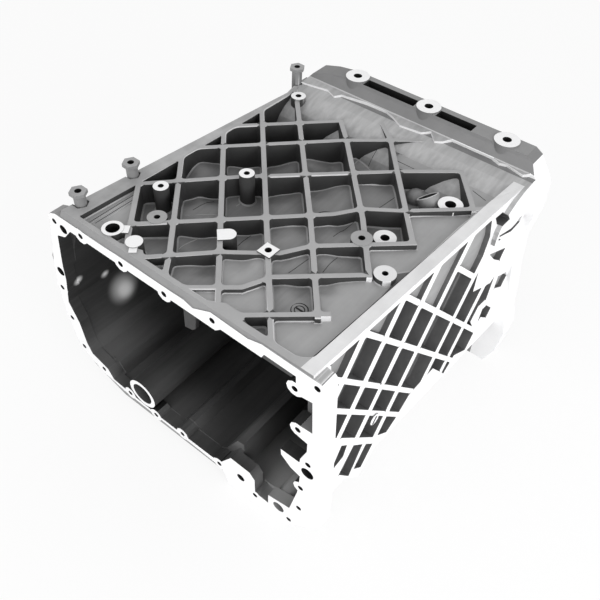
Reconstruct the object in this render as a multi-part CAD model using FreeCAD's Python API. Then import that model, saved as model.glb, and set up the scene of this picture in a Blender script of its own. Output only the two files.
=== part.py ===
# Housing of a heavy gearbox: one light-metal casting, open at the front, ribbed outside.
# Lengths in millimetres: x to the right along the front flange, y to the back, z up.
# The crests of the deck ribs lie at z = 0 until the last lines stand the casting on its feet.
import FreeCAD, Part
import math
import os

os.makedirs("parts", exist_ok=True)

# Whole casting: the underside lies below the deck, and the feet and flanges reach the ground
underside = -362.0
footHeight = 23.0
ground = underside - footHeight
floorThick = 16.0
cavityFloor = underside + floorThick
backFace = 496.0
backThick = 37.0
flangeFront = backFace - backThick
bulkheadThick = 16.0

# Front flange: outline, opening and holes, seen from the front
frontThick = 22.0
flangeOutline = [(0, -15), (235, -16), (248, -20), (277, -6), (333, -9), (353, -3), (437, -5), (442, -10),
                 (446, -100), (452, -240), (452, -312), (436, underside + 27), (418, underside + 12),
                 (400, underside - 4), (387, ground), (283, ground), (272, underside + 6), (60, underside + 12),
                 (10, underside + 22), (-24, -316), (-36, -300), (-45, -243),
                 (-47, -177), (-40, -130), (-28, -80), (-18, -40), (-12, -20)]
openingOutline = [(-8, -57), (10, -50), (26, -31), (283, -33), (292, -25), (353, -26), (357, -18), (402, -19),
                  (403, -50), (426, -46), (429, -104), (408, -106), (408, -129), (423, -132), (423, -150),
                  (414, -175), (413, -185), (383, -185), (384, -197), (400, -212), (415, -217), (414, -235),
                  (412, -262), (400, -321), (362, cavityFloor + 16), (362, cavityFloor - 7),
                  (337, cavityFloor - 6), (337, cavityFloor + 28), (328, cavityFloor + 39), (292, cavityFloor + 40),
                  (272, cavityFloor + 8), (253, cavityFloor + 1), (143, cavityFloor), (68, cavityFloor + 4),
                  (38, cavityFloor + 7), (28, cavityFloor + 26), (-5, -308), (-13, -287), (-18, -243),
                  (-32, -205), (-20, -150), (-18, -120)]
boltHoles = [(-6, -31), (48, -26), (123, -28), (199, -30), (279, -19), (431, -16), (401, -42), (408, -117),
             (426, -177), (417, -245), (416, -301), (400, underside + 7), (337, underside + 1),
             (267, underside + 13), (191, underside + 17), (133, underside + 13), (76, underside + 20),
             (17, underside + 33), (-24, -304), (-35, -243), (-37, -177)]
boltRadius = 4.25
boltDepth = 18.0
earRadius = 12.0
earSides = 10
dowelHoles = [(11, -36, 7, 13), (-28, -138, 7.5, 13), (426, -198, 9.5, 16), (310, underside + 21, 7, 14)]

# Body section seen from the front, before the leaning side walls trim it
bodyOutline = [(-40, 0), (500, 0), (500, -288), (440, -288), (398, underside), (60, underside), (-5, -336),
               (-28, -306), (-38, -240), (-42, -190), (-40, -110)]
cavityOutline = [(0, -66), (212, -66), (236, -44), (300, -44), (316, -62), (386, -62), (402, -42), (500, -42),
                 (500, -278), (430, -286), (398, cavityFloor + 6), (350, cavityFloor), (303, cavityFloor),
                 (298, cavityFloor + 54), (286, cavityFloor + 52), (262, cavityFloor + 8), (252, cavityFloor + 1),
                 (207, cavityFloor + 2), (196, cavityFloor + 13), (186, cavityFloor + 13), (176, cavityFloor),
                 (44, cavityFloor + 4), (30, cavityFloor + 24), (-4, -309), (-14, -287), (-22, -243),
                 (-32, -205), (-22, -150), (-14, -100)]
leftStart = 17.0
leftYaw = 0.094
leftLean = 0.5
skin = 6.0

# Oil gallery and dowel tube inside: x, z, bore, outer radius, length
tubes = [(108, cavityFloor + 30, 19.5, 27, flangeFront - 10), (381, cavityFloor + 4, 9.5, 16, 95)]

# Right wall: leans out towards the back and the bottom, with a diagonal lattice
wallStart = 424.3
wallYaw = 0.0512
wallLean = 0.045
wallDepth = 19.0
wallRisingWidth = 13.0
wallFallingWidth = 8.0
wallRisingSlope = 1.45
wallFallingSlope = -1.09
wallRisingRibs = [-135, -243, -346, -456, -598, -705]
wallFallingRibs = [-120, -58, 0, 90, 174]
wallShortRib = ((280, -39), (347, -106))
wallArea = [(30, -8), (357, -9), (363, -42), (354, -76), (350, -136), (403, -157), (413, -150), (404, -191),
            (381, -190), (366, -212), (389, -253), (370, -280), (335, -262), (311, -284), (272, -236), (216, -240),
            (186, -267), (164, -281), (128, -254), (30, -153)]
wallSpots = [((57, -20), 9), ((130, -20), 8), ((202, -20), 7), ((250, -40), 6), ((326, -55), 8), ((375, -170), 10)]
wallPads = [([(367, -12), (386, -13), (401, -31), (376, -29)], 12),
            ([(379, -46), (430, -64), (444, -55), (457, -60), (455, -72), (432, -75), (380, -57)], 9),
            ([(376, -82), (427, -103), (417, -121), (395, -104)], 10),
            ([(428, -162), (456, -171), (460, -181), (449, -198), (424, -183)], 7),
            ([(399, -210), (411, -210), (431, -231), (421, -246), (400, -228), (393, -235)], 12),
            ([(58, -195), (70, -207), (63, -226), (36, -234)], 12)]
windowFrame = [(88, -216), (146, -280), (101, -323), (42, -258)]
windowPanes = [[(85, -225), (106, -246), (79, -294), (56, -262)], [(114, -254), (131, -273), (107, -305), (90, -289)]]
windowDepth = 12.0
windowRoot = 32.0
slotBoss = (126, -208, 9.5, 2)
slotBossHole = [(120, -214), (124, -216), (132, -206), (129, -203)]

# Deck on top: pocketed area, ribs from end to end, and how deep the pocket at each spot lies
ribWidth = 7.0
bendLap = 0.35
deckArea = [(44, 8), (120, 8), (150, 17), (163, 8), (265, 8), (285, 18), (310, 18), (322, 10), (395, 11), (408, 20),
            (412, 107), (417, 207), (420, 307), (424, 352), (428, 400), (432, flangeFront + 11),
            (56, flangeFront + 11), (57, 437), (62, 402), (60, 340), (57, 240), (53, 157), (50, 97)]
risingRibs = [[(55, 286), (164, 398)], [(48, 207), (200, 365), (296, 449), (320, flangeFront + 13)],
              [(48, 99), (142, 201), (294, 349), (357, 404), (367, 409)],
              [(101, 38), (284, 221), (306, 254), (349, 286), (428, 360)],
              [(159, 9), (221, 74), (279, 121), (300, 156), (395, 244)],
              [(222, -3), (282, 48), (298, 84), (384, 162)], [(306, 12), (385, 81)]]
fallingRibs = [[(45, 108), (119, 21), (140, -1)], [(45, 188), (179, 33), (203, 1)], [(50, 268), (276, 14)],
               [(56, 345), (361, 8)], [(58, 423), (75, 405), (264, 199), (378, 68)],
               [(164, 399), (200, 365), (318, 239), (385, 158)], [(215, 434), (248, 407), (393, 241)],
               [(366, 408), (420, 346)]]
deckUsual = 30.0
floorSpots = [((82, 277), 54), ((117, 317), 54), ((157, 358), 52), ((72, 335), 54), ((90, 380), 46), ((62, 240), 50),
              ((83, 188), 34), ((121, 228), 40), ((160, 270), 48), ((200, 312), 46), ((243, 354), 38), ((200, 385), 30),
              ((62, 130), 36), ((134, 127), 27), ((175, 168), 34), ((215, 208), 30), ((255, 250), 24), ((298, 294), 20),
              ((350, 340), 32), ((95, 95), 34), ((70, 45), 9), ((145, 45), 22), ((181, 72), 26), ((225, 113), 30),
              ((263, 155), 13), ((301, 200), 15), ((347, 243), 28), ((400, 285), 9), ((190, 14), 14), ((222, 35), 14),
              ((263, 75), 8), ((301, 118), 12), ((341, 163), 20), ((390, 165), 8), ((290, 40), 7), ((340, 78), 13),
              ((336, 18), 16), ((150, 425), 30), ((350, 420), 10), ((258, 14), 5)]

# Rear flange with the barrel in front of it, its top bosses and slots
backOutline = [(124, 25), (428, 25), (440, 18), (463, -15), (465, -60), (457, -117), (461, -172), (466, -202),
               (472, -256), (482, -298), (477, underside + 12), (463, ground), (100, ground),
               (40, underside + 12), (-5, -300),
               (-20, -240), (-22, -170), (0, -90), (36, -20), (62, 12), (90, 20)]
recessOutline = [(60, -46), (412, -46), (420, -120), (424, -230), (430, -300), (424, underside + 10),
                 (110, underside + 10), (50, underside + 42), (18, -280), (8, -230), (8, -175), (26, -100)]
recessDepth = 20.0
barrelLeft = 50.0
barrelRight = 452.0
barrelBack = flangeFront - 10.0
barrelFront = barrelBack - 79.0
barrelFoot = -50.0
barrelTop = 1.0
barrelRoot = -60.0
barrelSteps = 6

# Wall that climbs from the barrel to the top bosses: how far its foot and its rise lie behind the flange's front
rearWallFoot = [(53, -18), (79, -14), (102, -10), (119, -17), (127, -8), (169, -1), (205, 0), (221, -6),
                (240, -16), (274, -12), (285, -2), (300, -17), (310, -11), (319, 2), (381, 2), (397, -4),
                (408, 0), (435, -7)]
rearWallRise = [(-20, 3), (0, 6), (7, 20), (9, 27)]
bossBack = backFace - 15.0
bossRow = [134, 262, 390]
bossTop = 27.0
bossRadius = 18.5
bossHole = 6.5
slotSpans = [(153, 243), (281, 340)]
slotWidth = 17.5
slotFloor = -20.0
backHoles = [(449, -45), (444, -170), (458, -310), (22, -325), (-6, -205), (18, -90)]
backHoleRadius = 5.1

# Shaft bores in the bulkhead: x, z, radius
shaftBores = [(205, -150, 60), (310, -235, 42)]

# Bosses on the deck: x, y, top, foot, radius, hole
postRadius = 8.0
postHead = 5.0
postHeadSides = 6
postRecess = 11.0
postRecessDepth = 6.0
edgePosts = [(25, 26, 20, -60, 12, 4.5), (30, 110, 20, -60, 12, 4.5), (47, 440, 27, -60, 12, 4.5)]
deckBosses = [(77, 407, 3, -60, 11.5, 4.5), (157, 198, 15, -50, 10.5, 4), (84, 111, 8, -50, 10.5, 4),
              (119, 70, 1, -40, 13, 4), (94, 19, 2, -30, 14, 9), (133, 19, 3, -30, 11, 0), (210, 104, 2, -40, 10, 0),
              (339, 207, 1, -30, 14, 4.5), (396, 175, 0, -20, 14, 4), (388, 341, -3, -40, 17, 7.5),
              (355, 237, -10, -40, 15, 6)]
squareBoss = (266, 114, 20)
bossTongues = [((94, 19), (111, 31), 14, 1.5), ((133, 19), (145, 5), 10, 1.5), ((200, 94), (210, 104), 20, 2)]
tongueThick = 12.0
tapDepth = 18.0

# Plain ribs on the left wall and feet under the casting
leftRibOut = -46.0
leftRibWidth = 9.0
leftRibs = [((40, -110), (230, -296)), ((180, -110), (370, -296)), ((320, -110), (446, -234)),
            ((40, -296), (230, -110)), ((180, -296), (370, -110)), ((320, -296), (446, -172))]
feet = [(60, 230), (300, 230)]
footSide = 60.0

# Blocks that cut the body reach past it on every side
reach = 2 * backFace


def at(point, plane, level):
    a, b = point
    if plane == "x":
        return FreeCAD.Vector(level, a, b)
    if plane == "y":
        return FreeCAD.Vector(a, level, b)
    return FreeCAD.Vector(a, b, level)


def outline(points, plane, level):
    corners = [at(p, plane, level) for p in points]
    return Part.Face(Part.makePolygon(corners + corners[:1]))


def prism(points, plane, start, end):
    return outline(points, plane, start).extrude(at((0, 0), plane, end - start))


def rodUp(x, y, foot, top, radius):
    return Part.makeCylinder(radius, top - foot, FreeCAD.Vector(x, y, foot))


def rodBack(x, z, start, end, radius):
    return Part.makeCylinder(radius, end - start, FreeCAD.Vector(x, start, z), FreeCAD.Vector(0, 1, 0))


def lobe(a, b, start, end, radius, sides=earSides, plane="y"):
    turns = [2 * math.pi * i / sides for i in range(sides)]
    return prism([(a + radius * math.cos(t), b + radius * math.sin(t)) for t in turns], plane, start, end)


def block(x, y, z):
    return Part.makeBox(reach, reach, reach, FreeCAD.Vector(x, y, z))


def leaning(start, yaw, lean):
    turn = FreeCAD.Rotation(FreeCAD.Vector(0, 0, 1), -math.degrees(math.atan(yaw)))
    tip = FreeCAD.Rotation(FreeCAD.Vector(0, 1, 0), math.degrees(math.atan(lean)))
    return FreeCAD.Placement(FreeCAD.Vector(start, 0, 0), turn.multiply(tip))


def placed(shape, place):
    shape.Placement = place.multiply(shape.Placement)
    return shape


def strip(start, end, width, lap=0):
    dx = end[0] - start[0]
    dy = end[1] - start[1]
    run = math.hypot(dx, dy)
    sx = -dy / run * width / 2
    sy = dx / run * width / 2
    lx = sy * lap
    ly = -sx * lap
    return [(start[0] + sx - lx, start[1] + sy - ly), (start[0] - sx - lx, start[1] - sy - ly),
            (end[0] - sx + lx, end[1] - sy + ly), (end[0] + sx + lx, end[1] + sy + ly)]


def stripes(line, width):
    return [strip(start, end, width, bendLap) for start, end in zip(line, line[1:])]


# Gaps narrower than about a rib stay solid
def pockets(area, ribs, plane):
    left = outline(area, plane, 0).cut([outline(r, plane, 0) for r in ribs])
    return [face for face in left.Faces if face.Area > 2.5 * ribWidth ** 2]


# A spot gives its depth to the pocket whose middle lies near it
def pocketDepth(a, b, spots, usual):
    gap, depth = min((math.hypot(a - s[0][0], b - s[0][1]), s[1]) for s in spots)
    return depth if gap < 4.2 * ribWidth else usual


# Body between the flanges
wallPlace = leaning(wallStart, wallYaw, -wallLean)
side = placed(block(0, -backFace / 4, -reach), wallPlace)
left = placed(block(-reach, -backFace / 4, -reach / 2), leaning(leftStart, leftYaw, leftLean))
body = prism(bodyOutline, "y", 1, flangeFront + 2).cut([side, left])
arc = [math.pi / 2 * i / barrelSteps for i in range(barrelSteps + 1)]
crown = [(barrelBack - (barrelBack - barrelFront) * math.cos(t), barrelFoot + (barrelTop - barrelFoot) * math.sin(t))
         for t in arc]
barrel = prism(crown + [(flangeFront + 2, barrelTop), (flangeFront + 2, barrelRoot), (barrelFront, barrelRoot)],
               "x", barrelLeft, barrelRight)
foot = [(x, flangeFront + y) for x, y in rearWallFoot]
rise = [(flangeFront + y, z) for y, z in rearWallRise]
wallEnd = rise[-1][0] + 2
rearWall = prism(rise + [(wallEnd, bossTop), (wallEnd, barrelRoot), (rise[0][0], barrelRoot)],
                 "x", barrelLeft, barrelRight)
rearWall = rearWall.common(prism(foot + [(barrelRight, wallEnd), (barrelLeft, wallEnd)], "z", barrelRoot, bossTop + 1))
barrel = barrel.fuse(rearWall.common(prism(backOutline, "y", barrelFront, backFace)))
slope = prism(rise[1:] + [(rise[-1][0], bossTop + 1), (flangeFront - 1, bossTop + 1), (flangeFront - 1, rise[1][1])],
              "x", -reach / 2, reach / 2)
adds = [prism(flangeOutline, "y", 0, frontThick), prism(backOutline, "y", flangeFront, backFace).cut(slope), barrel]
for x in bossRow:
    adds.append(rodUp(x, bossBack, slotFloor, bossTop, bossRadius))
for x, z in boltHoles:
    adds.append(lobe(x, z, 0, frontThick, earRadius))
for x, z, radius, ring in dowelHoles:
    adds.append(lobe(x, z, 0, frontThick, ring))
for start, end in leftRibs:
    adds.append(prism(strip(start, end, leftRibWidth), "x", leftRibOut, leftRibOut + 30))
for x, y in feet:
    adds.append(Part.makeBox(footSide, footSide, footHeight + 1, FreeCAD.Vector(x, y, ground)))
adds.append(placed(prism(windowFrame, "x", -windowRoot, 0), wallPlace))
body = body.fuse(adds)

# Pockets in the deck and in the right wall, cavity, opening and slots
cuts = []
deckRibs = [s for line in risingRibs + fallingRibs for s in stripes(line, ribWidth)]
for face in pockets(deckArea, deckRibs, "z"):
    c = face.CenterOfMass
    depth = pocketDepth(c.x, c.y, floorSpots, deckUsual)
    face.translate(FreeCAD.Vector(0, 0, -depth))
    cuts.append(face.extrude(FreeCAD.Vector(0, 0, depth + 5)).cut(barrel))
far = backFace
wallRibs = [strip((0, w), (far, w + far * wallRisingSlope), wallRisingWidth) for w in wallRisingRibs]
wallRibs += [strip((0, u), (far, u + far * wallFallingSlope), wallFallingWidth) for u in wallFallingRibs]
wallRibs.append(strip(*wallShortRib, wallFallingWidth))
for face in pockets(wallArea, wallRibs, "x"):
    c = face.CenterOfMass
    depth = pocketDepth(c.y, c.z, wallSpots, wallDepth)
    face.translate(FreeCAD.Vector(-depth, 0, 0))
    cuts.append(placed(face.extrude(FreeCAD.Vector(depth + 12, 0, 0)), wallPlace))
for points, depth in wallPads:
    cuts.append(placed(prism(points, "x", -depth, 12), wallPlace))
for points in windowPanes:
    cuts.append(placed(prism(points, "x", -windowDepth, 12), wallPlace))
for x, y, top, foot, radius, hole in edgePosts:
    cuts.append(lobe(x, y, -postRecessDepth, 1, postRecess, postHeadSides, "z"))
cavity = prism(cavityOutline, "y", frontThick - 4, flangeFront - bulkheadThick)
inner = placed(block(-wallDepth - skin, -backFace / 4, -reach), wallPlace)
cuts.append(cavity.cut(inner))
cuts.append(prism(openingOutline, "y", -1, frontThick))
cuts.append(prism(recessOutline, "y", backFace - recessDepth, backFace + 1))
for start, end in slotSpans:
    cuts.append(Part.makeBox(end - start, slotWidth, 60, FreeCAD.Vector(start, bossBack - 13, slotFloor)))
body = body.cut(cuts)

# Ears, tubes, bosses and bearing rings that stand inside the cuts
adds = []
for x, z in boltHoles:
    adds.append(lobe(x, z, 0, frontThick, earRadius))
for x, z, radius, outer, length in tubes:
    adds.append(rodBack(x, z, 0, length, outer))
for x, y, top, foot, radius, hole in deckBosses:
    adds.append(rodUp(x, y, foot, top, radius))
for x, y, top, foot, radius, hole in edgePosts:
    adds.append(rodUp(x, y, foot, top, postRadius))
    adds.append(lobe(x, y, top - postHead, top, radius, postHeadSides, "z"))
for start, end, width, top in bossTongues:
    adds.append(prism(strip(start, end, width), "z", top - tongueThick, top))
y, z, radius, rise = slotBoss
adds.append(placed(lobe(y, z, -wallDepth, rise, radius, earSides, "x"), wallPlace))
x, y, width = squareBoss
adds.append(Part.makeBox(width, width, 14, FreeCAD.Vector(x - width / 2, y - width / 2, -12)))
body = body.fuse(adds)

# Holes
cuts = []
for x, z in boltHoles:
    cuts.append(rodBack(x, z, -1, boltDepth, boltRadius))
for x, z, radius, ring in dowelHoles:
    cuts.append(rodBack(x, z, -1, frontThick, radius))
for x, z, radius, outer, length in tubes:
    cuts.append(rodBack(x, z, -1, length + 1, radius))
for x, z, radius in shaftBores:
    cuts.append(rodBack(x, z, flangeFront - bulkheadThick - 1, backFace, radius))
for x, z in backHoles:
    cuts.append(rodBack(x, z, backFace - tapDepth, backFace + 1, backHoleRadius))
for x, y, top, foot, radius, hole in deckBosses + edgePosts:
    if hole:
        cuts.append(rodUp(x, y, top - tapDepth, top + 1, hole))
for x in bossRow:
    cuts.append(rodUp(x, bossBack, slotFloor, bossTop + 1, bossHole))
cuts.append(rodUp(squareBoss[0], squareBoss[1], 2 - tapDepth, 3, 4.5))
cuts.append(placed(prism(slotBossHole, "x", -wallDepth / 2, 12), wallPlace))
body = body.cut(cuts).removeSplitter()

# Stand it on its feet, with the middle of its outline at the origin
leftEdge = min(x for x, z in boltHoles) - earRadius
rightEdge = max(x for x, z in backOutline)
backEdge = bossBack + bossRadius
body.translate(FreeCAD.Vector(-(leftEdge + rightEdge) / 2, -backEdge / 2, -ground))
print("solids", len(body.Solids), "valid", body.isValid(), "faces", len(body.Faces), body.BoundBox)
body.exportStep("parts/housing.step")
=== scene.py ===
# Gearbox housing: one light-metal casting, open at the front, with a ribbed deck and a ribbed right side.
# Places on it are in millimetres: x to the right along the front flange, y to the back, z up from the crests
# of the deck's ribs.
import bmesh
import bpy
import math
from mathutils import Matrix, Vector
from mathutils.bvhtree import BVHTree
from mathutils.geometry import tessellate_polygon
from mathutils.kdtree import KDTree


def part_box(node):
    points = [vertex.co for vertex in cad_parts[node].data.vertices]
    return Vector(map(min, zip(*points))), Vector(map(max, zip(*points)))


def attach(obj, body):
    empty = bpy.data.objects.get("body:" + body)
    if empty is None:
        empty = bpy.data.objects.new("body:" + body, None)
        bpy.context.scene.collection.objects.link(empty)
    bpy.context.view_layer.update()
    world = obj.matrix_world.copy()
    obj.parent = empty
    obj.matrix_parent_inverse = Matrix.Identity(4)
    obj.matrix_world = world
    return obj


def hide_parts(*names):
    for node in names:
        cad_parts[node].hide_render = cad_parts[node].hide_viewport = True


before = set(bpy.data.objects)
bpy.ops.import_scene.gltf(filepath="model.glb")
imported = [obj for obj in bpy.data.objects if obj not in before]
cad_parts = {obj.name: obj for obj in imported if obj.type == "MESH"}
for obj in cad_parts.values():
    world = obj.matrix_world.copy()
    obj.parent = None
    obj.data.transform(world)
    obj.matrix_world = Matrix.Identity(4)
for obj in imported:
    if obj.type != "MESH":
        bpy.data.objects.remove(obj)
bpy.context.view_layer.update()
nodeLow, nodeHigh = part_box("housing")
flangeInset = 0.049      # from the casting's leftmost point to x = 0
bossRise = 0.027         # from the rib crests to the top of the rear bosses
origin = Vector((nodeLow.x + flangeInset, nodeLow.y, nodeHigh.z - bossRise))
print("stage: frame loaded")


def spot(x, y, z=0.0):
    return origin + Vector((x, y, z)) * 0.001


def millimetres(point):
    return (point - origin) * 1000


# Materials

def newMaterial(name):
    material = bpy.data.materials.new(name)
    material.use_nodes = True
    return material, material.node_tree.nodes, material.node_tree.links


def mixColour(nodes, links, factor, low, high):
    mix = nodes.new("ShaderNodeMix")
    mix.data_type = "RGBA"
    links.new(factor, mix.inputs[0])
    mix.inputs[6].default_value = (*low, 1)
    mix.inputs[7].default_value = (*high, 1)
    return mix.outputs[2]


def noise(nodes, links, place, scale, detail, roughness):
    node = nodes.new("ShaderNodeTexNoise")
    node.inputs["Scale"].default_value = scale
    node.inputs["Detail"].default_value = detail
    node.inputs["Roughness"].default_value = roughness
    links.new(place, node.inputs["Vector"])
    return node.outputs["Fac"]


# Painted highlights and painted pools of light: colour brought towards a lighter one round the given places:
# x, y, z, reach, share
def paintedLightPatches(nodes, links, place, colour, paintedPatches):
    for x, y, z, reach, share in paintedPatches:
        away = nodes.new("ShaderNodeVectorMath")
        away.operation = "DISTANCE"
        away.inputs[1].default_value = spot(x, y, z)
        links.new(place, away.inputs[0])
        nearness = nodes.new("ShaderNodeMapRange")
        nearness.interpolation_type = "SMOOTHSTEP"
        nearness.inputs["From Min"].default_value = reach * 0.001
        nearness.inputs["From Max"].default_value = 0.0
        nearness.inputs["To Max"].default_value = share
        links.new(away.outputs["Value"], nearness.inputs["Value"])
        mix = nodes.new("ShaderNodeMix")
        mix.data_type = "RGBA"
        links.new(nearness.outputs["Result"], mix.inputs[0])
        links.new(colour, mix.inputs[6])
        mix.inputs[7].default_value = (1, 1, 1, 1)
        colour = mix.outputs[2]
    return colour


def blended(nodes, links, first, second, share):
    blend = nodes.new("ShaderNodeMix")
    blend.inputs[0].default_value = share
    links.new(first, blend.inputs[2])
    links.new(second, blend.inputs[3])
    return blend.outputs[0]


# Marks of the metal: scale, detail and roughness of each noise, and how far some are drawn out to the back
marks = {"broad": (22.0, 4.0, 0.6), "fine": (900.0, 3.0, 0.6), "drawn": (130.0, 5.0, 0.55), "drawnOut": 0.09,
         "roughness": 0.55, "metallic": 0.25, "grain": 0.3, "grainDepth": 0.0004, "softEdge": 0.0008,
         "edgeSamples": 6, "blueShares": (1.01, 1.005)}


def castMetal(name, low, high, streak, paintedPatches):
    material, nodes, links = newMaterial(name)
    shader = nodes["Principled BSDF"]
    place = nodes.new("ShaderNodeTexCoord").outputs["Object"]
    tone = noise(nodes, links, place, *marks["broad"])
    height = noise(nodes, links, place, *marks["fine"])
    if streak:
        drawn = nodes.new("ShaderNodeMapping")
        drawn.inputs["Scale"].default_value = (1.0, marks["drawnOut"], 1.0)
        links.new(place, drawn.inputs["Vector"])
        lines = noise(nodes, links, drawn.outputs["Vector"], *marks["drawn"])
        tone = blended(nodes, links, tone, lines, streak)
        height = blended(nodes, links, height, lines, streak)
    lowBlue, highBlue = marks["blueShares"]
    colour = mixColour(nodes, links, tone, (low, low, low * lowBlue), (high, high, high * highBlue))
    # Painted highlights and painted light at the listed places are mixed into the base colour
    links.new(paintedLightPatches(nodes, links, place, colour, paintedPatches), shader.inputs["Base Color"])
    shader.inputs["Metallic"].default_value = marks["metallic"]
    shader.inputs["Roughness"].default_value = marks["roughness"]
    rounded = nodes.new("ShaderNodeBevel")
    rounded.samples = marks["edgeSamples"]
    rounded.inputs["Radius"].default_value = marks["softEdge"]
    bump = nodes.new("ShaderNodeBump")
    bump.inputs["Strength"].default_value = marks["grain"]
    bump.inputs["Distance"].default_value = marks["grainDepth"]
    links.new(height, bump.inputs["Height"])
    links.new(rounded.outputs["Normal"], bump.inputs["Normal"])
    links.new(bump.outputs["Normal"], shader.inputs["Normal"])
    return material


# Darkest and lightest grey of each finish, and how much its marks are drawn out
finishes = {
    "cast": (0.20, 0.32, 0.2),
    "crest": (0.32, 0.44, 0.0),
    # Painted highlight: lighter grey on the rounded edges of the rib crests and on the oil pipe's rim
    "ribEdgeHighlight": (0.48, 0.66, 0.0),
    "rail": (0.52, 0.90, 0.3),
    "leftRail": (0.16, 0.60, 0.2),
    # Painted shade: near black on the walls of the deck's pockets
    "shadedPocketWall": (0.030, 0.068, 0.1),
    # Deck floors: partly the cast skin's own grey, partly painted shade, the deep floors darker than the
    # shallow ones
    "pocketFloor": (0.15, 0.36, 0.55),
    "shallowFloor": (0.26, 0.46, 0.4),
    # Painted highlight: lighter grey on the rounded feet of the walls and on the fine ridges of the floors
    "seamHighlight": (0.36, 0.56, 0.0),
    "barrel": (0.20, 0.62, 0.75),
    "rearWall": (0.16, 0.24, 0.1),
    # Painted highlight: the thin bright wavy line along the foot of the rear wall
    "waveHighlight": (0.70, 0.90, 0.0),
    "machined": (0.86, 0.92, 0.0),
    "post": (0.28, 0.42, 0.0),
    # Painted light: near white on the faces of the right side that face the key lamp
    "litSideRib": (0.86, 0.92, 0.0),
    # Painted shade: dark grey in the pockets of the right side, less dark in the shallow ones
    "shadedSidePocket": (0.06, 0.19, 0.4),
    "sideShallow": (0.26, 0.44, 0.5),
    # Painted shade: near black on the walls of the opening and on the bracket behind the flange
    "inside": (0.012, 0.06, 0.75),
    # Painted shade: nearly black in holes, slots, the oil pipe's bore, the floor rings and the dark floor
    # lines
    "hole": (0.006, 0.014, 0.0),
}
# Painted glints and painted pools of light on the walls of the opening, and painted light that makes the foot
# of its right wall lighter
paintedLightSpots = {"inside": [(15, 40, -322, 110, 0.10), (126, 26, -344, 90, 0.05), (194, 36, -333, 80, 0.05),
                       (288, 47, -294, 60, 0.08), (322, 60, -346, 90, 0.13), (350, 53, -346, 60, 0.2),
                       (382, 24, -326, 70, 0.4), (-26, 21, -171, 11, 1), (-31, 71, -199, 10, 1),
                       (-23, 93, -242, 34, 0.8), (-21, 96, -248, 20, 1)]}
materials = {name: castMetal(name, low, high, streak, paintedLightSpots.get(name, ()))
             for name, (low, high, streak) in finishes.items()}
zoneOrder = list(finishes)
print("stage: materials")


# The casting itself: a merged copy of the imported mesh, with its edges rounded and its finishes laid out

# Raised bosses: x, y, radius, radius of the hole, finish of the top
bosses = [(25, 26, 13, 4.5, "post"), (30, 110, 13, 4.5, "post"), (47, 440, 13, 4.5, "post"),
          (77, 407, 12, 4.5, "machined"), (157, 198, 11, 4, "machined"), (84, 111, 11, 4, "machined"),
          (119, 70, 13.5, 4, "post"), (94, 19, 14.5, 9, "machined"), (133, 19, 11.5, 0, "machined"),
          (210, 104, 10.5, 0, "machined"), (339, 207, 14.5, 4.5, "post"), (396, 175, 14.5, 4, "rail"),
          (388, 341, 17.5, 7.5, "machined"), (355, 237, 15.5, 6, "machined"),
          (266, 114, 14.5, 4.5, "machined"), (134, 481, 19, 6.5, "machined"),
          (262, 481, 19, 6.5, "machined"), (390, 481, 19, 6.5, "machined")]
casting = {"wallStart": 424.3, "wallYaw": 0.0512, "wallLean": 0.045, "mergeDistance": 1e-6,
           "flatAngle": 0.004, "railLine": ((407, 0), (431, 470)), "leftRailLine": ((46, 0), (62.5, 470)),
           "rearCorner": (438, 460), "rearHeights": (-2, 7), "rearSpan": (440, 475), "cornerRound": 0.0050,
           "crestRound": 0.0013, "sideCornerRound": 0.0028, "sideEdgeRound": 0.0009, "seamRound": 0.0022,
           "leastCorner": 0.0006, "shortestCorner": 0.005, "shortestEdge": 0.002, "sharpAngle": 0.5,
           "roomShare": 0.42, "leastTangent": 0.2, "smallest": 2e-5, "footInsets": (0.0009, 0.0013),
           "footRises": (0.0022, 0.0006), "footFade": 12, "gridStep": 5.0, "gridSpan": (440, 472),
           "rippleShare": 0.08, "rippleMost": 2.0, "heightReach": 9.0, "floorHold": 0.3}
# Where each finish begins and ends: spans run to the back, slants are parts of a face's normal
zones = {"flat": 0.99, "faceOn": 0.9, "frontSkin": 0.5,
         "flangeHole": {"back": 24, "top": -8, "slant": 0.2, "widest": 0.0195},
         "boss": {"root": -26, "foot": -13, "slant": 0.5, "widest": 0.012, "margin": 0.6},
         "raised": {"foot": 1.2, "back": 200, "right": 250},
         "slot": {"span": (468, 487), "top": 26, "widest": 0.110},
         "waveHighlight": {"span": (436, 464), "heights": (-2, 7), "slant": 0.1, "forward": 0.3, "right": 445},
         "barrel": {"span": (370, 464), "heights": (-60, 8), "slant": 0.4, "forward": 0.04, "right": 440,
                    "rootBack": 450, "rootSlant": 0.05},
         "rearWall": {"span": (436, 487), "foot": 0.5, "right": 438, "ledge": 464, "rootBack": 475},
         "cavity": {"span": (3, 444), "roof": -40, "wallRoof": -57, "slant": 0.5, "gap": -20.5,
                    "middle": (190, -200), "left": 30, "lean": 0.1, "back": 455, "deep": -60},
         "riser": {"back": 12, "foot": -25},
         "side": {"span": (28, 440), "top": -2, "gap": -25, "skin": -0.5, "shallow": -10.5},
         "cell": {"span": (20, 470), "left": 380, "top": -5, "flange": 455},
         "edge": {"left": 380, "top": 12, "lean": 0.3, "flangeLeft": 425, "flangeFront": 400, "forward": 0.5},
         "crest": {"reach": 0.4, "rail": (407, 0.052), "leftRail": (46, 0.035)},
         "deck": {"across": (40, 434), "span": (0, 471), "top": -1, "level": 0.999, "shallow": -10.5,
                  "slant": 0.3, "foot": -62, "back": 449}}
rayLift, holeLift = 0.0006, 0.0002     # a ray starts this far off the face that it leaves
rayReach = 10.0


def wallGap(p):
    return p.x - (casting["wallStart"] + casting["wallYaw"] * p.y - casting["wallLean"] * p.z)


def within(value, span):
    return span[0] < value < span[1]


def meets(tree, point, way, most=rayReach):
    return tree.ray_cast(point, way, most)[0] is not None


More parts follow.
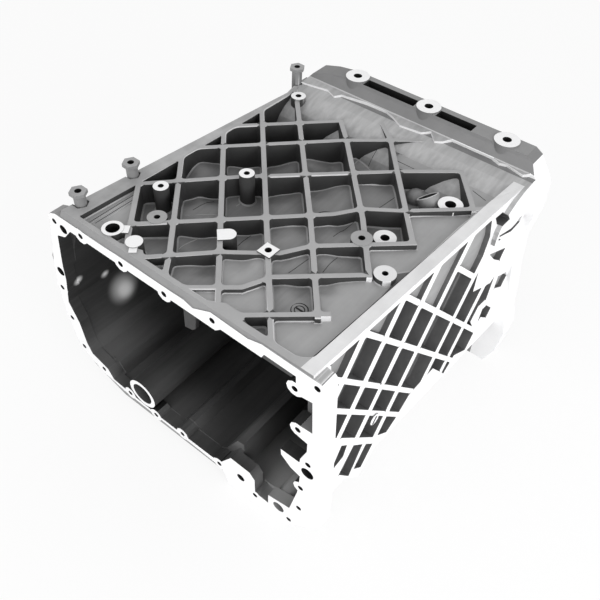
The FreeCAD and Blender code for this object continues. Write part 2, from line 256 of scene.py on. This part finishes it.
def enclosed(tree, point, normal):
    start = point + normal * rayLift
    ways = (Vector((0, 0, -1)), Vector((1, 0, 0)), Vector((-1, 0, 0)))
    return meets(tree, start, Vector((0, 0, 1))) and sum(meets(tree, start, way) for way in ways) > 1


def narrow(tree, point, normal, most):
    return meets(tree, point + normal * holeLift, normal, most)


def facesCavity(p, n):
    cavity = zones["cavity"]
    if not within(p.y, cavity["span"]) or p.z > cavity["roof"] or wallGap(p) > cavity["gap"]:
        return False
    if p.z > cavity["wallRoof"] and abs(n.z) < cavity["slant"]:
        return False
    x, z = cavity["middle"]
    return (x - p.x) * n.x + (z - p.z) * n.z > 0


# Middle of the largest triangle of a face, which lies on the face also where its corners run round a hole
def innerPoint(face):
    corners = [v.co for v in face.verts]
    if len(corners) < 5:
        return face.calc_center_median()
    best = max(tessellate_polygon([corners]), key=lambda t: (corners[t[1]] - corners[t[0]]).cross(
        corners[t[2]] - corners[t[0]]).length)
    return (corners[best[0]] + corners[best[1]] + corners[best[2]]) / 3


def onBoss(p):
    for x, y, radius, hole, finish in bosses:
        reach = math.hypot(p.x - x, p.y - y)
        if reach < radius:
            return reach < hole + zones["boss"]["margin"], finish
    return None


def frontZone(p, n, centre, tree):
    hole = zones["flangeHole"]
    if n.y < -zones["flat"] and p.y < zones["frontSkin"]:
        return "machined"
    # Walls of narrow holes get the nearly black painted shade
    if p.y < hole["back"] and p.z < hole["top"] and abs(n.y) < hole["slant"]:
        if narrow(tree, centre, n, hole["widest"]):
            return "hole"
    return None


def bossZone(p, n, centre, tree):
    limits, raised = zones["boss"], zones["raised"]
    boss = onBoss(p) if p.z > limits["root"] else None
    if boss and boss[0]:
        if n.z < limits["slant"] or narrow(tree, centre, Vector((1, 0, 0)), limits["widest"]):
            return "hole"
    if n.z > zones["flat"]:
        if boss and p.z > limits["foot"]:
            return boss[1]
        if p.z > raised["foot"] and p.y < raised["back"]:
            return "machined" if p.x < raised["right"] else "crest"
    return None


def rearZone(p, n, centre, tree):
    slot, waveHighlight, barrel, wall = zones["slot"], zones["waveHighlight"], zones["barrel"], zones["rearWall"]
    if within(p.y, slot["span"]) and n.z < zones["faceOn"] and p.z < slot["top"]:
        if narrow(tree, centre, n, slot["widest"]):
            return "hole"
    # Faces of the wavy foot of the rear wall get the bright painted highlight
    if within(p.y, waveHighlight["span"]) and within(p.z, waveHighlight["heights"]) and p.x < waveHighlight["right"]:
        if abs(n.z) < waveHighlight["slant"] and n.y < -waveHighlight["forward"]:
            return "waveHighlight"
    if within(p.y, barrel["span"]) and within(p.z, barrel["heights"]) and p.x < barrel["right"]:
        if n.y < -barrel["forward"] and n.z > barrel["slant"]:
            return "barrel"
    if within(p.y, wall["span"]) and p.x < wall["right"] and p.z > wall["foot"]:
        if abs(n.z) < zones["flat"] or p.y < wall["ledge"]:
            return "rearWall"
    return None


def cavityZone(p, n, centre, tree):
    cavity, riser = zones["cavity"], zones["riser"]
    # Faces that look into the opening get the near-black painted shade
    if facesCavity(p, n):
        return "inside"
    if p.x > cavity["left"] or n.x > -cavity["lean"]:
        if p.y < cavity["back"] and p.z < cavity["deep"] and wallGap(p) < cavity["gap"]:
            if enclosed(tree, centre, n):
                return "inside"
    if n.y < -zones["faceOn"] and p.y < riser["back"] and p.z > riser["foot"]:
        return "cast"
    return None


# Faces of the right side and the rear flange's end turned out to the light get near white as painted light;
# faces in the side pockets get dark grey as painted shade, less dark where shallow
def sideZone(p, n, centre, tree):
    side, cell, edge = zones["side"], zones["cell"], zones["edge"]
    gap, faceOn = wallGap(p), zones["faceOn"]
    if n.x > faceOn and within(p.y, side["span"]) and p.z < side["top"] and gap > side["gap"]:
        if gap > side["skin"]:
            return "litSideRib"
        return "sideShallow" if gap > side["shallow"] else "shadedSidePocket"
    if within(p.y, cell["span"]) and p.x > cell["left"] and p.z < cell["top"]:
        if within(gap, (side["gap"], 0)) and abs(n.x) < faceOn:
            return "litSideRib" if n.y < -faceOn and p.y > cell["flange"] else "shadedSidePocket"
    if p.z < edge["top"]:
        if p.x > edge["left"] and n.x > edge["lean"]:
            return "litSideRib"
        if p.x > edge["flangeLeft"] and p.y > edge["flangeFront"] and n.y < -edge["forward"]:
            return "litSideRib"
    return None


def deckZone(p, n, centre, tree):
    crest, deck, barrel, wall = zones["crest"], zones["deck"], zones["barrel"], zones["rearWall"]
    if n.z > zones["flat"] and abs(p.z) < crest["reach"]:
        if p.x > crest["rail"][0] + crest["rail"][1] * p.y:
            return "rail"
        return "leftRail" if p.x < crest["leftRail"][0] + crest["leftRail"][1] * p.y else "crest"
    if within(p.x, deck["across"]) and within(p.y, deck["span"]) and p.z < deck["top"]:
        # Floors below the shallow limit get the darker grey as painted shade
        if n.z > deck["level"]:
            return "shallowFloor" if p.z > deck["shallow"] else "pocketFloor"
        # Walls of the deck's pockets get the near-black painted shade
        if abs(n.z) < deck["slant"] and p.z > deck["foot"] and p.y < deck["back"]:
            return "shadedPocketWall"
    if n.z > barrel["rootSlant"]:
        if within(p.y, (barrel["span"][0], barrel["rootBack"])):
            return "barrel"
        if within(p.y, (wall["span"][0], wall["rootBack"])):
            return "rearWall"
    return "cast"


def zoneOf(face, tree):
    centre = innerPoint(face)
    p, n = millimetres(centre), face.normal
    for zone in (frontZone, bossZone, rearZone, cavityZone, sideZone, deckZone):
        found = zone(p, n, centre, tree)
        if found:
            return found
    return "cast"


# Edges and corners go into dicts here and in groups, because a set would change their order from run to run
def cut(bm, flat, place, across):
    edges = dict.fromkeys(e for f in flat for e in f.edges)
    corners = dict.fromkeys(v for f in flat for v in f.verts)
    bmesh.ops.bisect_plane(bm, geom=[*flat, *edges, *corners], dist=casting["mergeDistance"], plane_co=place,
                           plane_no=across)


def splitCrest(bm):
    for start, end in (casting["railLine"], casting["leftRailLine"]):
        flat = [f for f in bm.faces if f.normal.z > zones["flat"]
                and abs(millimetres(f.calc_center_median()).z) < zones["crest"]["reach"]]
        cut(bm, flat, spot(*start), (end[1] - start[1], start[0] - end[0], 0))


def splitRear(bm):
    places = [(spot(*casting["rearCorner"]), (1, 0, 0))]
    places += [(spot(*casting["rearCorner"], z), (0, 0, 1)) for z in casting["rearHeights"]]
    for place, across in places:
        upright = [f for f in bm.faces if f.normal.y < -zones["faceOn"]
                   and within(millimetres(innerPoint(f)).y, casting["rearSpan"])]
        cut(bm, upright, place, across)


def floorWave(x, y):
    return math.sin(0.052 * x + 0.9) * math.cos(0.043 * y - 0.4) + 0.6 * math.sin(0.031 * (x - y) + 1.7)


def indices(*names):
    return [zoneOrder.index(name) for name in names]


def allIn(v, allowed):
    return all(f.material_index in allowed for f in v.link_faces)


# Two narrow rings round each floor, raised where they meet a wall, so that the foot of the wall is rounded;
# the rings take a lighter grey as a painted highlight
def shapeFloors(bm):
    floors = indices("pocketFloor", "shallowFloor")
    moved = indices("pocketFloor", "shallowFloor", "seamHighlight")
    allowed = moved + indices("shadedPocketWall")
    flat = [f for f in bm.faces if f.material_index in floors]
    rings = []
    for width in casting["footInsets"]:
        ring = bmesh.ops.inset_region(bm, faces=flat, thickness=width, depth=0, use_boundary=True,
                                      use_even_offset=False)["faces"]
        for face in ring:
            face.material_index = zoneOrder.index("seamHighlight")
        rings.append({v for f in ring for v in f.verts})
    outer = {v for v in rings[0] if not allIn(v, moved)}
    middle = rings[0] & rings[1]
    for rim, rise in zip((outer, middle), casting["footRises"]):
        for v in rim:
            if allIn(v, allowed):
                v.co.z += rise * min(1, -millimetres(v.co).z / casting["footFade"])


def gridFloors(bm):
    moved = indices("pocketFloor", "shallowFloor", "seamHighlight")
    step, (width, depth) = casting["gridStep"], casting["gridSpan"]
    cuts = [(step * i, 0, (1, 0, 0)) for i in range(int(width / step))]
    cuts += [(0, step * i, (0, 1, 0)) for i in range(int(depth / step))]
    for x, y, across in cuts:
        cut(bm, [f for f in bm.faces if f.material_index in moved], spot(x, y), across)


# Heights that the pocket floors reach at these places (x, y, z): along the feet of the rising ribs
footHeights = [
    (54, 208, -21), (61, 215, -22), (67, 222, -28), (73, 228, -29), (84, 239, -33), (116, 272, -36),
    (125, 282, -37), (134, 291, -38), (143, 301, -32), (152, 310, -27), (162, 321, -23), (169, 328, -24),
    (174, 333, -30), (178, 337, -35), (196, 356, -35), (209, 368, -30), (220, 378, -27), (234, 390, -24),
    (243, 398, -27), (91, 141, -32), (122, 174, -36), (131, 184, -32), (137, 191, -31), (143, 197, -27),
    (174, 227, -36), (189, 242, -33), (204, 256, -29), (215, 267, -28), (227, 279, -26), (238, 290, -20),
    (249, 300, -19), (259, 310, -20), (293, 343, -22), (145, 77, -16), (154, 86, -17), (158, 90, -24),
    (162, 94, -30), (179, 111, -26), (199, 131, -21), (210, 142, -24), (222, 154, -21), (231, 163, -17),
    (241, 173, -14), (262, 194, -15), (271, 203, -17), (296, 233, -22), (304, 244, -17), (186, 32, -16),
    (200, 47, -16), (211, 58, -21), (219, 67, -20), (228, 75, -9), (243, 87, -11), (264, 105, -5),
    (275, 113, -8), (286, 127, -10), (296, 143, -8), (310, 160, -9), (317, 167, -8), (326, 176, -16),
    (301, 82, -13), (312, 92, -10), (322, 101, -17), (346, 123, -15), (362, 137, -9), (380, 154, -8)]


# Number of the pocket that each face belongs to
def cellsOf(bm, moved):
    cells = {}
    count = 0
    for face in bm.faces:
        if face.material_index not in moved or face in cells:
            continue
        waiting = [face]
        cells[face] = count
        while waiting:
            for edge in waiting.pop().edges:
                for other in edge.link_faces:
                    if other.material_index in moved and other not in cells:
                        cells[other] = count
                        waiting.append(other)
        count += 1
    return cells


def waveFloors(bm):
    moved = indices("pocketFloor", "shallowFloor", "seamHighlight")
    allowed = moved + indices("shadedPocketWall")
    cellOfVert = {}
    for face, cell in cellsOf(bm, moved).items():
        for v in face.verts:
            cellOfVert[v] = cell
    corners = list(cellOfVert)
    tree = KDTree(len(corners))
    for i, v in enumerate(corners):
        tree.insert((v.co.x, v.co.y, 0), i)
    tree.balance()
    heights = {}
    for x, y, z in footHeights:
        place = spot(x, y)
        i = tree.find((place.x, place.y, 0))[1]
        heights.setdefault(cellOfVert[corners[i]], []).append((x, y, z))
    for v in corners:
        if not allIn(v, allowed):
            continue
        p = millimetres(v.co)
        pull, total = 0.0, casting["floorHold"]
        for x, y, z in heights.get(cellOfVert[v], ()):
            weight = math.exp(-((p.x - x) ** 2 + (p.y - y) ** 2) / (2 * casting["heightReach"] ** 2))
            pull += weight * (z - p.z)
            total += weight
        ripple = min(casting["rippleShare"] * -p.z, casting["rippleMost"]) * floorWave(p.x, p.y)
        v.co.z += (pull / total + ripple) * 0.001


# Widest rounding that both faces beside an edge have room for
def room(edge):
    start, along = edge.verts[0].co, (edge.verts[1].co - edge.verts[0].co).normalized()
    side = min(max((v.co - start).cross(along).length for v in face.verts) for face in edge.link_faces)
    return casting["roomShare"] * side / max(math.tan(edge.calc_face_angle(0) / 2), casting["leastTangent"])


# Edges that hang together are rounded by themselves, so that a tight corner holds back only its own group
def groups(edges):
    left = dict.fromkeys(edges)
    while left:
        group, waiting = [], [left.popitem()[0]]
        while waiting:
            edge = waiting.pop()
            group.append(edge)
            for v in edge.verts:
                for other in v.link_edges:
                    if other in left:
                        del left[other]
                        waiting.append(other)
        yield group


def between(bm, first, second, convex, width, shortest):
    pair, sharp = set(indices(first, second)), casting["sharpAngle"]
    found = []
    for edge in bm.edges:
        if len(edge.link_faces) != 2 or edge.calc_length() < shortest or edge.is_convex != convex:
            continue
        if {f.material_index for f in edge.link_faces} == pair and edge.calc_face_angle(0) > sharp:
            if room(edge) > width:
                found.append(edge)
    return found


def bevelled(bm, edges, width, segments):
    return bmesh.ops.bevel(bm, geom=edges, offset=width, offset_type="OFFSET", segments=segments, profile=0.5,
                           affect="EDGES", clamp_overlap=True, material=-1)["faces"]


def roundCorners(bm, name, width, segments):
    edges = between(bm, name, name, False, casting["leastCorner"], casting["shortestCorner"])
    for edge in edges:
        if edge.is_valid and len(edge.link_faces) == 2:
            bevelled(bm, [edge], min(width, room(edge)), segments)
    print("rounding", len(edges), "corners of", name)


def roundEdges(bm, first, second, convex, width, finish=None):
    edges = between(bm, first, second, convex, width, casting["shortestEdge"])
    for group in list(groups(edges)):
        made = bevelled(bm, [edge for edge in group if edge.is_valid], width, 2)
        if finish:
            for face in made:
                face.material_index = zoneOrder.index(finish)
    print("rounding", len(edges), "edges between", first, "and", second)


def dressedCasting():
    bm = bmesh.new()
    bm.from_mesh(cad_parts["housing"].data)
    bmesh.ops.remove_doubles(bm, verts=bm.verts, dist=casting["mergeDistance"])
    bmesh.ops.dissolve_limit(bm, angle_limit=casting["flatAngle"], verts=bm.verts, edges=bm.edges)
    splitCrest(bm)
    splitRear(bm)
    bm.normal_update()
    tree = BVHTree.FromBMesh(bm)
    for face in bm.faces:
        face.material_index = zoneOrder.index(zoneOf(face, tree))
    roundCorners(bm, "shadedPocketWall", casting["cornerRound"], 4)
    roundCorners(bm, "shadedSidePocket", casting["sideCornerRound"], 3)
    # The rounded edges of the crests take a lighter grey as a painted highlight
    roundEdges(bm, "shadedPocketWall", "crest", True, casting["crestRound"], "ribEdgeHighlight")
    roundEdges(bm, "litSideRib", "shadedSidePocket", True, casting["sideEdgeRound"])
    # The rounded foot of the rear wall takes a lighter grey as a painted highlight
    roundEdges(bm, "barrel", "rearWall", False, casting["seamRound"], "seamHighlight")
    bmesh.ops.dissolve_degenerate(bm, dist=casting["smallest"], edges=bm.edges)
    shapeFloors(bm)
    gridFloors(bm)
    waveFloors(bm)
    for v in bm.verts:
        for i in range(3):
            v.co[i] = min(max(v.co[i], nodeLow[i]), nodeHigh[i])
    mesh = bpy.data.meshes.new("dressed_casting")
    bmesh.ops.triangulate(bm, faces=bm.faces)
    bm.to_mesh(mesh)
    bm.free()
    for name in zoneOrder:
        mesh.materials.append(materials[name])
    piece = bpy.data.objects.new("dressed_casting", mesh)
    bpy.context.scene.collection.objects.link(piece)
    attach(piece, "root")
    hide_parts("housing")
    return piece


castingPiece = dressedCasting()
print("stage: casting", len(castingPiece.data.polygons), "triangles")


# Forms that stand on the casting: oil pipe and its hump, bracket, left wall, round rings and fine lines

def addPiece(name, bm, finish, smooth=True):
    bmesh.ops.recalc_face_normals(bm, faces=bm.faces)
    mesh = bpy.data.meshes.new(name)
    bm.to_mesh(mesh)
    bm.free()
    for face in mesh.polygons:
        face.use_smooth = smooth
    mesh.materials.append(materials[finish])
    piece = bpy.data.objects.new(name, mesh)
    bpy.context.scene.collection.objects.link(piece)
    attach(piece, "root")
    return piece


def surfaceUnder(tree, x, y, top=10.0):
    hit = tree.ray_cast(spot(x, y, top), Vector((0, 0, -1)))[0]
    return millimetres(hit).z if hit else None


oilPipe = {"mouth": (353, 341, -7), "axis": (-0.598, 0.179, 0.781), "radius": 0.0155, "widening": 1.05,
           "wall": 0.0024, "length": 0.040, "sides": 40, "rimRound": 0.0007, "rimDepth": 0.001, "facing": 0.3,
           "hump": (331, 351, -28), "humpSize": (14, 15, 12), "humpSides": (32, 18)}


# Open tube that widens downwards: a painted highlight on its rim and painted shade, nearly black, inside
def makeOilPipe():
    bm = bmesh.new()
    bmesh.ops.create_cone(bm, cap_ends=False, segments=oilPipe["sides"], depth=oilPipe["length"],
                          radius1=oilPipe["radius"] * oilPipe["widening"], radius2=oilPipe["radius"])
    bmesh.ops.translate(bm, verts=bm.verts, vec=(0, 0, -oilPipe["length"] / 2))
    bmesh.ops.recalc_face_normals(bm, faces=bm.faces)
    bmesh.ops.solidify(bm, geom=bm.faces, thickness=oilPipe["wall"])
    rim = [e for e in bm.edges if all(v.co.z > -oilPipe["rimDepth"] for v in e.verts)
           and e.calc_face_angle(0) > casting["sharpAngle"]]
    bevelled(bm, rim, oilPipe["rimRound"], 2)
    axis, place = Vector(oilPipe["axis"]).normalized(), spot(*oilPipe["mouth"])
    turn = Vector(oilPipe["axis"]).to_track_quat("Z", "Y").to_matrix().to_4x4()
    bm.transform(Matrix.Translation(place) @ turn)
    piece = addPiece("oil_pipe", bm, "cast")
    # Painted highlight on the rim faces, painted shade on the faces of the bore
    for name in ("ribEdgeHighlight", "hole"):
        piece.data.materials.append(materials[name])
    for face in piece.data.polygons:
        outwards = (face.center - place) - (face.center - place).dot(axis) * axis
        if face.normal.dot(axis) > oilPipe["facing"]:
            face.material_index = 1
        elif face.normal.dot(outwards) < 0:
            face.material_index = 2


def makeHump():
    bm = bmesh.new()
    across, around = oilPipe["humpSides"]
    bmesh.ops.create_uvsphere(bm, u_segments=across, v_segments=around, radius=0.001)
    bmesh.ops.scale(bm, verts=bm.verts, vec=oilPipe["humpSize"])
    bmesh.ops.translate(bm, verts=bm.verts, vec=spot(*oilPipe["hump"]))
    addPiece("pipe_hump", bm, "pocketFloor")


def plate(corners, through):
    bm = bmesh.new()
    face = bm.faces.new([bm.verts.new(corner) for corner in corners])
    made = bmesh.ops.extrude_face_region(bm, geom=[face])["geom"]
    moved = [v for v in made if isinstance(v, bmesh.types.BMVert)]
    bmesh.ops.translate(bm, verts=moved, vec=Vector(through) * 0.001)
    return bm


# Bracket behind the front flange: corners are x and z
bracket = {"corners": [(200, -60), (222, -60), (221, -86), (218, -104), (212, -110), (198, -113)],
           "front": 26, "thick": 8.0, "edgeRound": 0.0012}


def makeBracket():
    bm = plate([spot(x, bracket["front"], z) for x, z in bracket["corners"]], (0, bracket["thick"], 0))
    bevelled(bm, bm.edges, bracket["edgeRound"], 2)
    # The bracket is near black as painted shade, like the opening
    addPiece("bracket", bm, "inside", False)


# Wall that closes the cavity where the leaning left side leaves it open: corners are y and z
leftWall = {"corners": [(150, -58), (438, -58), (438, -172), (375, -158), (190, -108)], "start": 17.0,
            "yaw": 0.094, "lean": 0.5, "sunk": 0.03, "thick": 5.0}


def makeLeftWall():
    outer = leftWall["start"] + leftWall["sunk"]
    corners = [spot(outer + leftWall["yaw"] * y + leftWall["lean"] * z, y, z) for y, z in leftWall["corners"]]
    addPiece("left_wall", plate(corners, (leftWall["thick"], 0, 0)), "cast", False)


# Round rings on the floors: x, y, radius of each ring, half width of the ring, half length of a bar across it
rings = {"places": [(270, 228, (19, 11), 0.8, 0), (348, 73, (10, 6), 0.7, 5)], "level": -20, "sides": 8,
         "steps": 48, "bar": (2, 1.4)}


def makeRings(tree):
    bm = bmesh.new()
    turns = [2 * math.pi * i / rings["sides"] for i in range(rings["sides"])]
    for x, y, radii, half, bar in rings["places"]:
        level = surfaceUnder(tree, x, y) or rings["level"]
        for radius in radii:
            section = [bm.verts.new(spot(x + radius + half * math.cos(t), y, level + half * math.sin(t)))
                       for t in turns]
            loop = [bm.edges.new((a, b)) for a, b in zip(section, section[1:] + section[:1])]
            bmesh.ops.spin(bm, geom=section + loop, cent=spot(x, y, level), axis=(0, 0, 1), angle=2 * math.pi,
                           steps=rings["steps"], use_merge=True)
        if bar:
            across = bmesh.ops.create_cube(bm, size=0.001)["verts"]
            bmesh.ops.scale(bm, verts=across, vec=(2 * bar, *rings["bar"]))
            bmesh.ops.translate(bm, verts=across, vec=spot(x, y, level))
    # Rings and bars are nearly black, in the finish of painted shade
    addPiece("round_pads", bm, "hole")


# Fine lines on the pocket floors, from front to back: thin raised ridges coloured as painted highlights, and
# thin dark beads laid as painted shadow lines along steps in the floors
ridges = {"lines": [((168, 352), (166, 322)), ((221, 399), (219, 361)), ((160, 221), (154, 178)),
                    ((164, 92), (161, 63)), ((146, 299), (146, 320)), ((120, 115), (155, 145)),
                    ((56, 12), (59, 92)), ((64, 26), (66, 80))],
          "halfWidth": 0.0006, "step": 3, "leastDepth": 2}
shadowLines = {"lines": [((236, 407), (236, 370)), ((125, 165), (121, 129)), ((314, 323), (310, 291)),
                      ((212, 149), (211, 118)), ((303, 246), (301, 200)), ((306, 147), (302, 109)),
                      ((328, 173), (328, 143)), ((273, 384), (306, 382)), ((393, 394), (417, 386)),
                      ((53, 10), (56, 96)), ((60, 18), (63, 88))],
            "halfWidth": 0.0004, "step": 3, "leastDepth": 2}


def makeLines(name, values, finish, tree):
    curve = bpy.data.curves.new(name, "CURVE")
    curve.dimensions = "3D"
    curve.bevel_depth = values["halfWidth"]
    curve.bevel_resolution = 1
    for (x0, y0), (x1, y1) in values["lines"]:
        points = []
        steps = max(2, int(math.hypot(x1 - x0, y1 - y0) / values["step"]))
        for i in range(steps + 1):
            x, y = x0 + (x1 - x0) * i / steps, y0 + (y1 - y0) * i / steps
            level = surfaceUnder(tree, x, y)
            if level is not None and level < -values["leastDepth"]:
                points.append(spot(x, y, level))
        if len(points) > 2:
            spline = curve.splines.new("POLY")
            spline.points.add(len(points) - 1)
            for point, place in zip(spline.points, points):
                point.co = (*place, 1)
    holder = bpy.data.objects.new(name + "_curve", curve)
    bpy.context.scene.collection.objects.link(holder)
    mesh = bpy.data.meshes.new_from_object(holder.evaluated_get(bpy.context.evaluated_depsgraph_get()))
    bpy.data.objects.remove(holder)
    bm = bmesh.new()
    bm.from_mesh(mesh)
    addPiece(name, bm, finish)


castingMesh = bmesh.new()
castingMesh.from_mesh(castingPiece.data)
castingTree = BVHTree.FromBMesh(castingMesh)
castingMesh.free()
makeOilPipe()
makeHump()
makeBracket()
makeLeftWall()
makeRings(castingTree)
makeLines("floor_ridges", ridges, "seamHighlight", castingTree)
makeLines("floor_shadow_lines", shadowLines, "hole", castingTree)
print("stage: pipe, bracket, left wall, rings and lines")


# Floor, light and camera

def seenDirectly(nodes, links):
    path = nodes.new("ShaderNodeLightPath")
    total = path.outputs["Is Camera Ray"]
    for name in ("Is Glossy Ray", "Is Transmission Ray"):
        both = nodes.new("ShaderNodeMath")
        both.operation = "MAXIMUM"
        links.new(total, both.inputs[0])
        links.new(path.outputs[name], both.inputs[1])
        total = both.outputs[0]
    return total


stage = {"floorSize": 30.0, "floorColour": (0.82, 0.82, 0.82), "floorRoughness": 0.9,
         "worldColour": (1.0, 1.0, 1.0), "worldStrength": 0.8, "whiteShare": 0.86}
# Place, place lit, size and power of each lamp
lamps = {"keyRight": ((1.8, -0.6, 0.9), (0, 0, 0.2), 1.0, 20),
         "fillFront": ((-0.2, -2.0, 0.7), (0, 0, 0.2), 1.2, 12)}
view = {"lens": 43.2, "sensor": 36.0, "place": (0.465137, -0.620569, 0.985345),
        "right": (0.77930713, 0.62592347, 0.03000332), "up": (-0.47450633, 0.55815766, 0.68066421),
        "back": (0.40929712, -0.54468324, 0.73198089)}


def makeFloor():
    bm = bmesh.new()
    bmesh.ops.create_grid(bm, x_segments=1, y_segments=1, size=stage["floorSize"] / 2)
    mesh = bpy.data.meshes.new("floor")
    bm.to_mesh(mesh)
    bm.free()
    floor = bpy.data.objects.new("floor", mesh)
    bpy.context.scene.collection.objects.link(floor)
    material, nodes, links = newMaterial("floor")
    shader = nodes["Principled BSDF"]
    shader.inputs["Base Color"].default_value = (*stage["floorColour"], 1)
    shader.inputs["Roughness"].default_value = stage["floorRoughness"]
    seen = seenDirectly(nodes, links)
    white = nodes.new("ShaderNodeEmission")
    blend = nodes.new("ShaderNodeMixShader")
    share = nodes.new("ShaderNodeMath")
    share.operation = "MULTIPLY"
    share.inputs[1].default_value = stage["whiteShare"]
    links.new(seen, share.inputs[0])
    links.new(share.outputs[0], blend.inputs[0])
    links.new(shader.outputs[0], blend.inputs[1])
    links.new(white.outputs[0], blend.inputs[2])
    links.new(blend.outputs[0], nodes["Material Output"].inputs["Surface"])
    mesh.materials.append(material)


def makeWorld():
    world = bpy.data.worlds.new("studio")
    bpy.context.scene.world = world
    world.use_nodes = True
    nodes, links = world.node_tree.nodes, world.node_tree.links
    back = nodes["Background"]
    back.inputs["Color"].default_value = (*stage["worldColour"], 1)
    back.inputs["Strength"].default_value = stage["worldStrength"]
    white = nodes.new("ShaderNodeBackground")
    white.inputs["Color"].default_value = (*stage["worldColour"], 1)
    blend = nodes.new("ShaderNodeMixShader")
    links.new(seenDirectly(nodes, links), blend.inputs[0])
    links.new(back.outputs[0], blend.inputs[1])
    links.new(white.outputs[0], blend.inputs[2])
    links.new(blend.outputs[0], nodes["World Output"].inputs["Surface"])


def areaLamp(name, place, target, size, power):
    lamp = bpy.data.lights.new(name, "AREA")
    lamp.size = size
    lamp.energy = power
    piece = bpy.data.objects.new(name, lamp)
    bpy.context.scene.collection.objects.link(piece)
    piece.location = place
    piece.rotation_euler = (Vector(target) - Vector(place)).to_track_quat("-Z", "Y").to_euler()


def makeCamera():
    camera = bpy.data.cameras.new("camera")
    camera.lens = view["lens"]
    camera.sensor_width = view["sensor"]
    piece = bpy.data.objects.new("camera", camera)
    bpy.context.scene.collection.objects.link(piece)
    turn = Matrix([Vector(view[name]) for name in ("right", "up", "back")]).transposed()
    piece.matrix_world = Matrix.Translation(view["place"]) @ turn.to_4x4()
    bpy.context.scene.camera = piece


makeFloor()
makeWorld()
for name, (place, target, size, power) in lamps.items():
    areaLamp(name, place, target, size, power)
makeCamera()
bpy.context.scene.view_settings.view_transform = "Standard"
print("stage: floor, light and camera")
